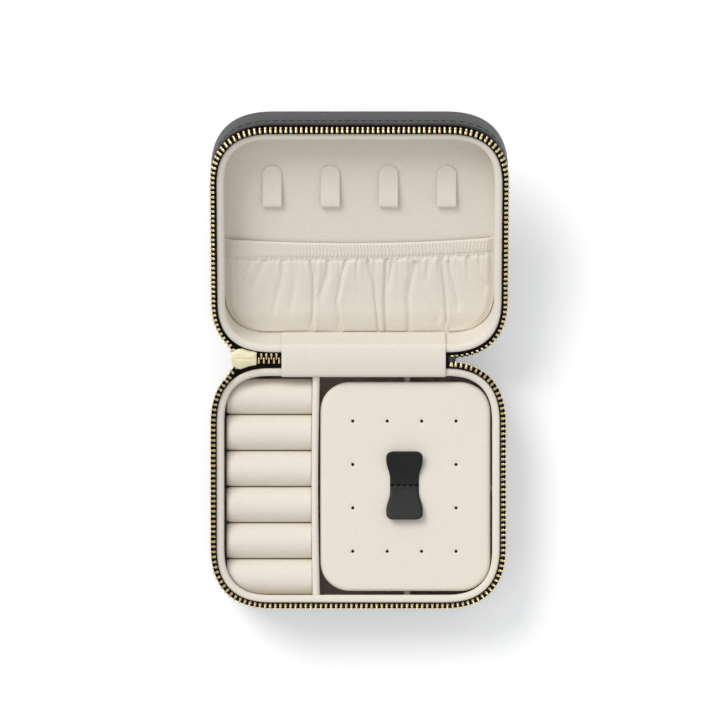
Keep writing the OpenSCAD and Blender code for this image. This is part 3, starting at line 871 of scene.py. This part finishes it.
def bow_wing(curl):
    """Half of the bow-tie tab: sewn down at the middle, widening and curling up to its rounded end."""
    v = np.concatenate([np.linspace(0, BOW_HALF_LEN - BOW_R, 34)[:-1],
                        BOW_HALF_LEN - BOW_R * (1 - np.sin(np.linspace(0, 0.497 * np.pi, 14)))])
    width = BOW_WAIST + (BOW_LOBE - BOW_WAIST) * ramp((v - 2.6) / 7.6)
    into_end = np.clip((v - BOW_HALF_LEN + BOW_R) / BOW_R, 0, 1)
    width = width - BOW_R * (1 - np.sqrt(1 - into_end ** 2))
    slope = np.radians(curl) * ramp((v - 0.6) / 3.0) * (0.75 + 0.5 * v / BOW_HALF_LEN)
    run = np.gradient(v)
    y = np.cumsum(run * np.cos(slope)) - run[0]
    z = np.cumsum(run * np.sin(slope)) + BOW_T / 2 - 0.3 * bell(v, 0.6)
    thick = BOW_T / 2 * (1 - 0.25 * bell(v - BOW_HALF_LEN, 0.4))
    return strap(np.column_stack([y, z]), width, thick, cols=18)


def bow_stitches():
    origins = [((n - (BOW_STITCHES - 1) / 2) * 2.45, 0, BOW_T - 0.1) for n in range(BOW_STITCHES)]
    across = np.array([[0.0, 1.0, 0.0], [-1.0, 0.0, 0.0], [0.0, 0.0, 1.0]])
    return scatter(bead(1.7, 0.75, 0.5), origins, across)


def base_fittings():
    for n in range(1, 7):
        node = f"ring_roll_{n}"
        roll = piece(f"soft_{node}", ring_roll(node), METRES, "cream_lining", "base", [node])
    boards = (("ring_roll_divider", 1, divider_bend), ("cross_divider_long", 1, np.zeros_like),
              ("cross_divider_short", 0, np.zeros_like))
    for node, axis, bend_at in boards:
        piece(f"covered_{node}", upright(node, axis, bend_at), METRES, "cream_lining", "base", [node])


def earring_pad():
    cushion = pierced(piece("earring_cushion", pad_cushion(), METRES, "cream_lining"))
    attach(cushion, "earring_pad")
    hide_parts("pad_cushion")
    centre_low, centre_high = node_box("pull_tab_centre")
    middle = (centre_low + centre_high) / 2
    place = METRES @ move(middle[0], middle[1], centre_low[2] - 0.05)
    bent("bow_tab_rear", bow_wing(REAR_CURL), place, "tab_leather",
         ["pull_tab_rear"])
    bent("bow_tab_front", bow_wing(FRONT_CURL), place @ MIRROR_Y, "tab_leather",
         ["pull_tab_front", "pull_tab_centre"])
    piece("bow_tab_stitches", bow_stitches(), place, "black_thread", "earring_pad", ["pull_tab_stitches"])


# ---- spine and zip end


def in_spine(points):
    """Turns [y, z] points measured from the fold line, level with the base, into the spine's own frame."""
    y, z = np.asarray(points, float).T
    cos, sin = np.cos(HALF_TILT), np.sin(HALF_TILT)
    return np.column_stack([y * cos + z * sin, z * cos - y * sin])


TO_SPINE = turn_x(-HALF_TILT) @ move(0, -HINGE_Y, 0)


def half_path(level, spine):
    """A path from inside one half's wall to the middle of the spine."""
    return even(rounded(np.vstack([in_spine(level), spine]), 5), 0.35)


def strip_path(depth):
    """The lining strip: up the inside of the wall, over the rim roll and on to the middle of the spine."""
    level = [(-3.2, -depth), (-3.25, -3.0), (-3.25, -0.95), (-2.3, -0.15)]
    return half_path(level, [(1.3, 0.78), (SPINE_GAP / 2, 0.8)])


def tape_path():
    y = HALF_D - ZIP_IN - HINGE_Y
    return half_path([(y, -3.0), (y, -0.4)], [(1.0, 0.2), (1.8, 0.3), (SPINE_GAP / 2, 0.3)])


def back_leather_path():
    y = HALF_D - 1.25 - HINGE_Y
    return half_path([(y, -7.0), (y, -1.6)], [(1.0, -0.4), (1.9, -0.3), (SPINE_GAP / 2, -0.3)])


def strips(far):
    """Name, shape, slot, span of the fold and CAD nodes of each strip on one side of mid-spine."""
    middle = sum(STRIP_X) / 2
    half = (STRIP_X[1] - STRIP_X[0]) / 2
    flares, shift = (LID_FLARES, LID_SHIFT) if far else (BASE_FLARES, 0)
    into_spine = move(shift, 0, 0) @ TO_SPINE
    lining = strap(strip_path(LID_STRIP_DEPTH if far else BASE_STRIP_DEPTH), half, 0.3, 60, middle)
    tape = strap(tape_path(), 40.0, TAPE_HALF_T, 60, -4.2)
    # The back leather runs on 4 mm past the right end of the CAD spine leather. That extra length is a dark strip
    # of painted shade, standing in for the shadow in the gap between base and lid.
    leather = strap(back_leather_path(), half + 2, 0.36, 60, middle + 2)
    turn_tape, tape_faces = zip_tape(flares, TURN_START - 0.3, TURN - HIDDEN_RUN)
    turn_teeth, tooth_faces = zip_teeth(flares, TURN_START, TURN)
    return (
        ("lining_strip", lining, "cream_lining", (-1.2, 2.0), ["spine_lining"]),
        ("spine_tape", tape, "black_tape", (-0.2, 2.4), ["spine_zip_tape"]),
        ("back_leather", leather, "black_leather", (-0.6, 2.2), ["spine_leather"]),
        ("zip_turn_tape", (placed(into_spine, turn_tape), tape_faces), "black_tape", (-0.4, 2.2), []),
        ("zip_turn_teeth", (placed(into_spine, turn_teeth), tooth_faces), "zip_brass", (-0.4, 2.2), []),
    )


def back_strips():
    """The strips that fold at the back: lining, tape, leather and the ends of the zip's rows."""
    sides = (("near", SPINE, ("base", "spine"), False), ("far", SPINE_BACK, ("spine", "lid"), True))
    for side, place, bodies, far in sides:
        for name, shape, slot, fold, nodes in strips(far):
            bent(f"{name}_{side}", shape, place, slot, [] if far else nodes)


def chain_teeth():
    """The closed end of the zip: two rows of teeth that mesh."""
    first = node_box("spine_chain_teeth")[0][0] + 0.3
    count = int((STRIP_X[0] + 0.4 - first) / TOOTH_PITCH * 2)
    points, faces = tooth()
    origins, axes = [], []
    for n in range(count):
        side = 1 if n % 2 == 0 else -1
        origins.append((first + n * TOOTH_PITCH / 2, CHAIN_S - side * 2.05, 0.55))
        axes.append(np.column_stack([(0, side, 0), (1, 0, 0), (0, 0, -side)]))
    chain = scatter((points * (1, 0.78, 0.9), faces), origins, np.array(axes, float))
    points, faces = bead(4.6, 1.1, 0.5)
    return joined(chain, (points + (STRIP_X[0] + 0.9, CHAIN_S, 0.1), faces))


SLIDER_WIDE_X = -46.4
SLIDER_NARROW_X = -40.1
SLIDER_ROUND = 3.8
SLIDER_HALF_WIDE = 4.1
SLIDER_HALF_NARROW = 2.4
SLIDER_WAIST = (-43.3, 2.9)
PULL_X = -48.4
PULL_UP = -2.6


def slider_outline():
    """The slider's plan: round at the left and drawn in at the right, with soft corners."""
    points = [(SLIDER_NARROW_X, 0), (SLIDER_NARROW_X, SLIDER_HALF_NARROW - 0.2),
              (SLIDER_NARROW_X - 0.2, SLIDER_HALF_NARROW), SLIDER_WAIST]
    for angle in np.radians(np.linspace(0, 180, 40)):
        c, s = np.cos(angle), np.sin(angle)
        points.append((SLIDER_WIDE_X - SLIDER_ROUND * s ** 0.85, SLIDER_HALF_WIDE * c))
    points += [(x, -y) for x, y in points[3:0:-1]] + [(SLIDER_NARROW_X, 0)]
    return closed_even(rounded(points, 1), 0.02, 160)


def slider_plate(low, rim, crown, crease):
    """A domed plate of the slider, with a crease along its middle."""
    plan = slider_outline()
    middle = np.array([-45.2, 0])
    side = np.sign(crown)
    rings = [(0.02, low), (0.94, low), (1, low + 0.12 * side)]
    rings += [(1, rim - 0.3 * side), (0.975, rim - 0.08 * side)]
    rings += [(share, rim + crown * (1 - share ** 2.2)) for share in np.linspace(0.93, 0.03, 22)]
    points, faces = loft([xyz(*(middle + (plan - middle) * share).T, z) for share, z in rings])
    top = (points[:, 2] - rim) * side > 0
    on_line = ramp((points[:, 0] + 48.7) / 1.0)
    points[top, 2] -= side * crease * (bell(points[top, 1], 0.28) * on_line[top])
    return points, faces


def slider():
    """Two plates joined by a post, with two lugs and a pin for the pull."""
    upper = slider_plate(0.95, 1.8, 0.4, 0.08)
    lower = slider_plate(0.0, -0.7, -0.35, 0.0)
    c, s = superloop(24, 2.6)
    post = loft([xyz(PULL_X - 0.2 + 1.3 * c, 0.9 * s, z) for z in (-0.3, 1.2)])
    c, s = superloop(20, 2.5)
    lugs = [loft([xyz(PULL_X + 0.95 * c, y + 0.3 * s, z) for z in (-0.8, -2.2, -3.3)]) for y in (-1.1, 1.1)]
    pin = loft([xyz(PULL_X + 0.5 * c, y, PULL_UP + 0.5 * s) for y in (-1.3, 1.3)])
    return joined(upper, lower, post, *lugs, pin)


def pull():
    """The pull: an eye round the pin and a long tongue with a rounded end."""
    stations = ((0.9, 0.5, 0.55), (0.2, 0.55, 1.0), (-0.8, 0.55, 0.95), (-2.2, 0.55, 0.5), (-3.0, 0.9, 0.42),
                (-4.6, 2.1, 0.42), (-6, 2.3, 0.42), (-12, 2.3, 0.4), (-18, 2.3, 0.42), (-20.4, 2.15, 0.42),
                (-21.5, 1.6, 0.38), (-21.95, 0.7, 0.25))
    c, s = superloop(28, 2.8)
    return loft([xyz(PULL_X + t * s, CHAIN_S + w * c, PULL_UP + z) for z, w, t in stations])


def zip_end():
    chain_nodes = ["spine_chain_teeth", "zip_bottom_stop"]
    on_chain = SPINE @ move(0, CHAIN_S, 0)
    piece("closed_chain", chain_teeth(), SPINE, "zip_brass", "spine", chain_nodes)
    piece("slider_body", slider(), on_chain, "slider_brass", "slider", ["zip_slider"], sharp=35)
    piece("slider_pull", pull(), SPINE, "slider_brass", "pull", ["zip_pull"])


# ---- lid fittings

TAB_PITCH = 22.9
TAB_FOLD = 57.0
TAB_LEN = 16.8
TAB_HALF_W = 3.8


def necklace_tab():
    """A strap that leaves the panel, turns over at its fold and runs up to a round, pressed-down end."""
    fold = [(0.6, 0.05), (-0.2, 0.15), (-0.55, 0.9), (-0.3, 1.8), (0.6, 2.15), (2.5, 2.0), (6, 1.55),
            (10, 1.0), (TAB_LEN - 2, 0.68), (TAB_LEN, 0.6)]
    path = even(rounded(fold, 3), 0.3)
    into_end = np.clip((path[:, 0] - TAB_LEN + TAB_HALF_W) / TAB_HALF_W, 0, 0.999)
    width = TAB_HALF_W * np.sqrt(1 - into_end ** 2)
    return strap(path, np.maximum(width, 0.42), 0.38, 16)


POCKET_SEAM = 3.3
POCKET_SPAN = 47
POCKET_BORDER = 0.25
POCKET_T = 0.42
# Folds of the pocket: points along each fold as [x, distance from the lid's fold], then width, depth, step
POCKET_FOLDS = (
    (((-19.5, 34.5), (-17.9, 28.9), (-17.9, 20.2), (-18.7, 3)), 0.8, 0.95, 0.6),
    (((-11.5, 33), (-12.4, 28), (-15.2, 19)), 1.6, 0.65, 0.2),
    (((-5.1, 33.2), (-6.4, 28), (-8.7, 15.9), (-7.1, 3)), 0.9, 0.65, 0.8),
    (((3.7, 32.3), (5.9, 24.5), (7.7, 3)), 0.7, 1.0, 0.6),
    (((10.1, 33), (9.7, 18), (10.1, 3)), 0.9, 0.5, -0.55),
    (((13.2, 32), (12.0, 25)), 0.9, 0.5, 0.3),
    (((21.5, 32), (19.1, 19.9), (19.5, 3.6)), 1.5, 0.65, -0.25),
    (((22.6, 32), (31.7, 9.6)), 1.7, 0.6, 0.3),
    (((32.8, 33.5), (34.4, 18.2), (34.8, 3)), 0.8, 0.95, 0.6),
    (((36, 33), (39.5, 15.6)), 1.3, 0.6, 0.35),
    (((43.4, 34.5), (50, 23)), 1.3, 0.6, 0.35),
    (((-29.5, 33.5), (-30.4, 27), (-34, 12)), 1.4, 0.4, 0.15),
    (((-37, 34.5), (-41.7, 23.2)), 1.5, 0.45, 0.15),
    (((-42, 35), (-46, 27)), 1.2, 0.5, 0.25),
    (((-24.2, 35), (-24.6, 27), (-27, 14)), 1.5, 0.35, 0.1),
    (((27.5, 33), (26.8, 26)), 1.0, 0.4, 0.2),
)


def mouth_line(x):
    """How far the pocket's mouth reaches from the fold line, a little slack in the middle."""
    return 41.2 + 1.6 * (x / POCKET_SPAN) ** 2 + 0.3 * x / POCKET_SPAN


def stitch_line(x):
    """How far the stitches under the elastic stand from the fold line."""
    sag = 0.0006 * np.clip(-20 - x, 0, None) ** 2
    return 34.7 + 1.1 * (x / POCKET_SPAN) ** 2 + 0.9 * x / POCKET_SPAN - sag


def wave(x, length, shift=0.0):
    return np.sin(2 * np.pi * x / length + shift)


def pocket_height(x, reach):
    """Height of the gathered pocket above the panel, at x and a reach from the fold line."""
    stitch = stitch_line(x)
    below = np.clip(stitch - reach, 0, None)
    above = np.clip(reach - stitch, 0, None)
    height = 0.55 + 1.3 * ramp((reach - POCKET_SEAM) / 9) + 0.35 * ramp((reach - 12) / 18)
    height = height - 0.5 * bell(reach - stitch, 1.1)
    in_bag = ramp(below / 1.2)
    for path, width, depth, step in POCKET_FOLDS:
        fold_x, fold_reach = np.array(path).T
        order = np.argsort(fold_reach)
        away = x - np.interp(reach, fold_reach[order], fold_x[order])
        along = ramp((reach - fold_reach.min() + 5) / 5) * ramp((fold_reach.max() + 3 - reach) / 3)
        spread = 1.1 - 0.35 * np.clip(below / 30, 0, 1)
        valley = -depth * bell(away, width * spread)
        shoulder = step * np.exp(-abs(away) / (2.6 * width)) * np.tanh(away / (0.45 * width))
        height = height + in_bag * along * (valley + shoulder)
    gathers = wave(x, 4.1, 1.2 * np.sin(x / 5.3)) + 0.6 * wave(x, 2.3, 0.8)
    height = height + 0.3 * gathers * in_bag * np.exp(-below / 4.5) * (0.5 + 0.5 * ramp((x + 30) / 15))
    ruffle = wave(x + 0.25 * np.sin(reach * 1.3), 1.35, 0.6 * np.sin(x / 2.9))
    in_band = ramp(above / 0.8) * ramp((mouth_line(x) - reach) / 0.9)
    height = height + 0.13 * ruffle * in_band * (0.15 + 0.85 * ramp((x + 32) / 16))
    height = height + 0.14 * wave(x, 2.0) * bell(reach - stitch, 0.9)
    return height + 0.18 * np.sin(x / 7.3 + reach / 9.1) * in_bag


def sewn_down(height, from_side):
    """Flattens the pocket where its sides are sewn down."""
    return POCKET_BORDER + (height - POCKET_BORDER) * (0.35 + 0.65 * ramp(from_side / 3.0))


def pocket_stitches():
    """The row of stitches that holds the elastic, each sunk in its pucker."""
    x = np.arange(-50, 50.1, 1.25)
    reach = stitch_line(x)
    height = sewn_down(pocket_height(x, reach), 51.5 - abs(x))
    origins = xyz(x, reach, LID_PANEL + height + 0.1)
    slant = np.array([[0.35, 0.94, 0.0], [-0.94, 0.35, 0.0], [0.0, 0.0, 1.0]])
    return scatter(bead(0.95, 0.34, 0.34), origins, slant)


def thick_sheet(top, thickness):
    """A closed sheet from rows of points on its upper face."""
    rows, cols = top.shape[:2]
    count = rows * cols
    under = top - (0, 0, thickness)
    under[-1, :, 1] -= 0.1
    faces = grid(rows, cols)
    faces += [[index + count for index in face[::-1]] for face in faces]
    corner = np.arange(count).reshape(rows, cols)
    rim = np.concatenate([corner[0], corner[1:, -1], corner[-1, -2::-1], corner[-2:0:-1, 0]]).tolist()
    for a, b in zip(rim, rim[1:] + rim[:1]):
        faces.append([a, b, b + count, a + count])
    return np.vstack([top.reshape(-1, 3), under.reshape(-1, 3)]), faces


def gathered_pocket():
    """The pocket: one sheet with an elastic band at its mouth, sewn down round its lower edge."""
    inside = outline(np.linspace(TURN * 0.5, TURN, 500), INSIDE_IN + 0.25)
    side_reach = HINGE_Y - inside[:, 1]
    order = np.argsort(side_reach)
    share = np.linspace(0, 1, 130)
    across = np.linspace(-1, 1, 430)
    side_x = -np.interp(POCKET_SEAM + share * 38, side_reach[order], inside[order, 0])
    x = np.outer(side_x, across)
    mouth = mouth_line(x)
    reach = POCKET_SEAM + share[:, None] * (mouth - POCKET_SEAM)
    height = sewn_down(pocket_height(x, reach), (1 - abs(across)) * POCKET_SPAN)
    height -= 0.45 * ramp((reach - mouth + 0.5) / 0.5)
    return thick_sheet(xyz(x, reach, LID_PANEL + height), POCKET_T)


def lid_fittings():
    for n in range(4):
        x = (n - 1.5) * TAB_PITCH
        place = LID @ move(x, TAB_FOLD, LID_PANEL)
        bent(f"necklace_strap_{n + 1}", necklace_tab(), place, "cream_lining",
             [f"necklace_tab_{n + 1}"])
    pocket = bent("gathered_pocket", gathered_pocket(), LID, "cream_lining",
                  ["pocket_panel", "pocket_elastic"])
    stitches = bent("pocket_stitches", pocket_stitches(), LID, "cream_lining")


# ---- CAD nodes that stay


def dress_cad_nodes():
    """CAD nodes whose shape is right get softened edges and their slot's material."""
    slots = {row["node"]: row["material_slot"] for row in frame["record"]["subparts"]}
    for name, obj in frame["nodes"].items():
        obj.data.materials.clear()
        obj.data.materials.append(MATERIALS[slots[name]])
        soften = obj.modifiers.new("soft_edges", "BEVEL")
        soften.width = 0.00012
        soften.segments = 2
        soften.limit_method = "ANGLE"


# ---- scene


def stage():
    """A white floor that shows only soft shadows."""
    bpy.ops.mesh.primitive_plane_add(size=8)
    floor = bpy.context.object
    floor.name = "floor"
    material, tree, shader, where = new_material("white_floor", Roughness=0.9, Specular_IOR_Level=0.1)
    colour(tree, shader, noise(tree, where, 40), (0.86, 0.86, 0.865), (0.88, 0.88, 0.885))
    shader.inputs["Emission Color"].default_value = (1, 1, 1, 1)
    shader.inputs["Emission Strength"].default_value = 0.3
    floor.data.materials.append(material)


def lights():
    """A soft key from the far left and a bright sky that darkens towards the horizon."""
    sun = bpy.data.lights.new("key", "SUN")
    sun.energy = 1.55
    sun.angle = np.radians(32)
    sun.color = (1.0, 0.995, 0.98)
    key = bpy.data.objects.new("key", sun)
    key.rotation_euler = Vector((-0.46, 0.52, 0.80)).to_track_quat("Z", "Y").to_euler()
    bpy.context.scene.collection.objects.link(key)

    world = bpy.data.worlds.new("studio")
    world.use_nodes = True
    tree = world.node_tree
    where = add(tree, "ShaderNodeTexCoord").outputs["Generated"]
    height = add(tree, "ShaderNodeSeparateXYZ", Vector=where).outputs["Z"]
    strength = add(tree, "ShaderNodeMapRange", Value=height, To_Min=0.35, To_Max=0.8)
    tree.links.new(strength.outputs["Result"], tree.nodes["Background"].inputs["Strength"])
    tree.nodes["Background"].inputs["Color"].default_value = (0.97, 0.985, 1.0, 1)
    bpy.context.scene.world = world


def camera():
    """Straight down over the hinge, from far off, in metres."""
    data = bpy.data.cameras.new("camera")
    data.lens = 364.3
    data.sensor_width = 36
    data.clip_end = 20
    obj = bpy.data.objects.new("camera", data)
    above_rim = 2.88
    obj.location = (0.0007, 0.0496, BASE_H / 1000 + above_rim)
    bpy.context.scene.collection.objects.link(obj)
    bpy.context.scene.camera = obj
    bpy.context.scene.view_settings.view_transform = "Standard"


dress_cad_nodes()
shell("base", BASE, BASE_FLARES, -BASE_H, (BASE_FLOOR - 1 - BASE_H, BASE_FLOOR - BASE_H, 0.0),
      ("base_bottom_leather", "base_floor_lining"))
lid_panel = shell("lid", LID_SHELL, LID_FLARES, LID_OUT, (LID_PANEL - 2.4, LID_PANEL, 0.15),
                  ("lid_top_leather", "lid_panel"))
base_fittings()
earring_pad()
back_strips()
zip_end()
lid_fittings()
stage()
lights()
camera()
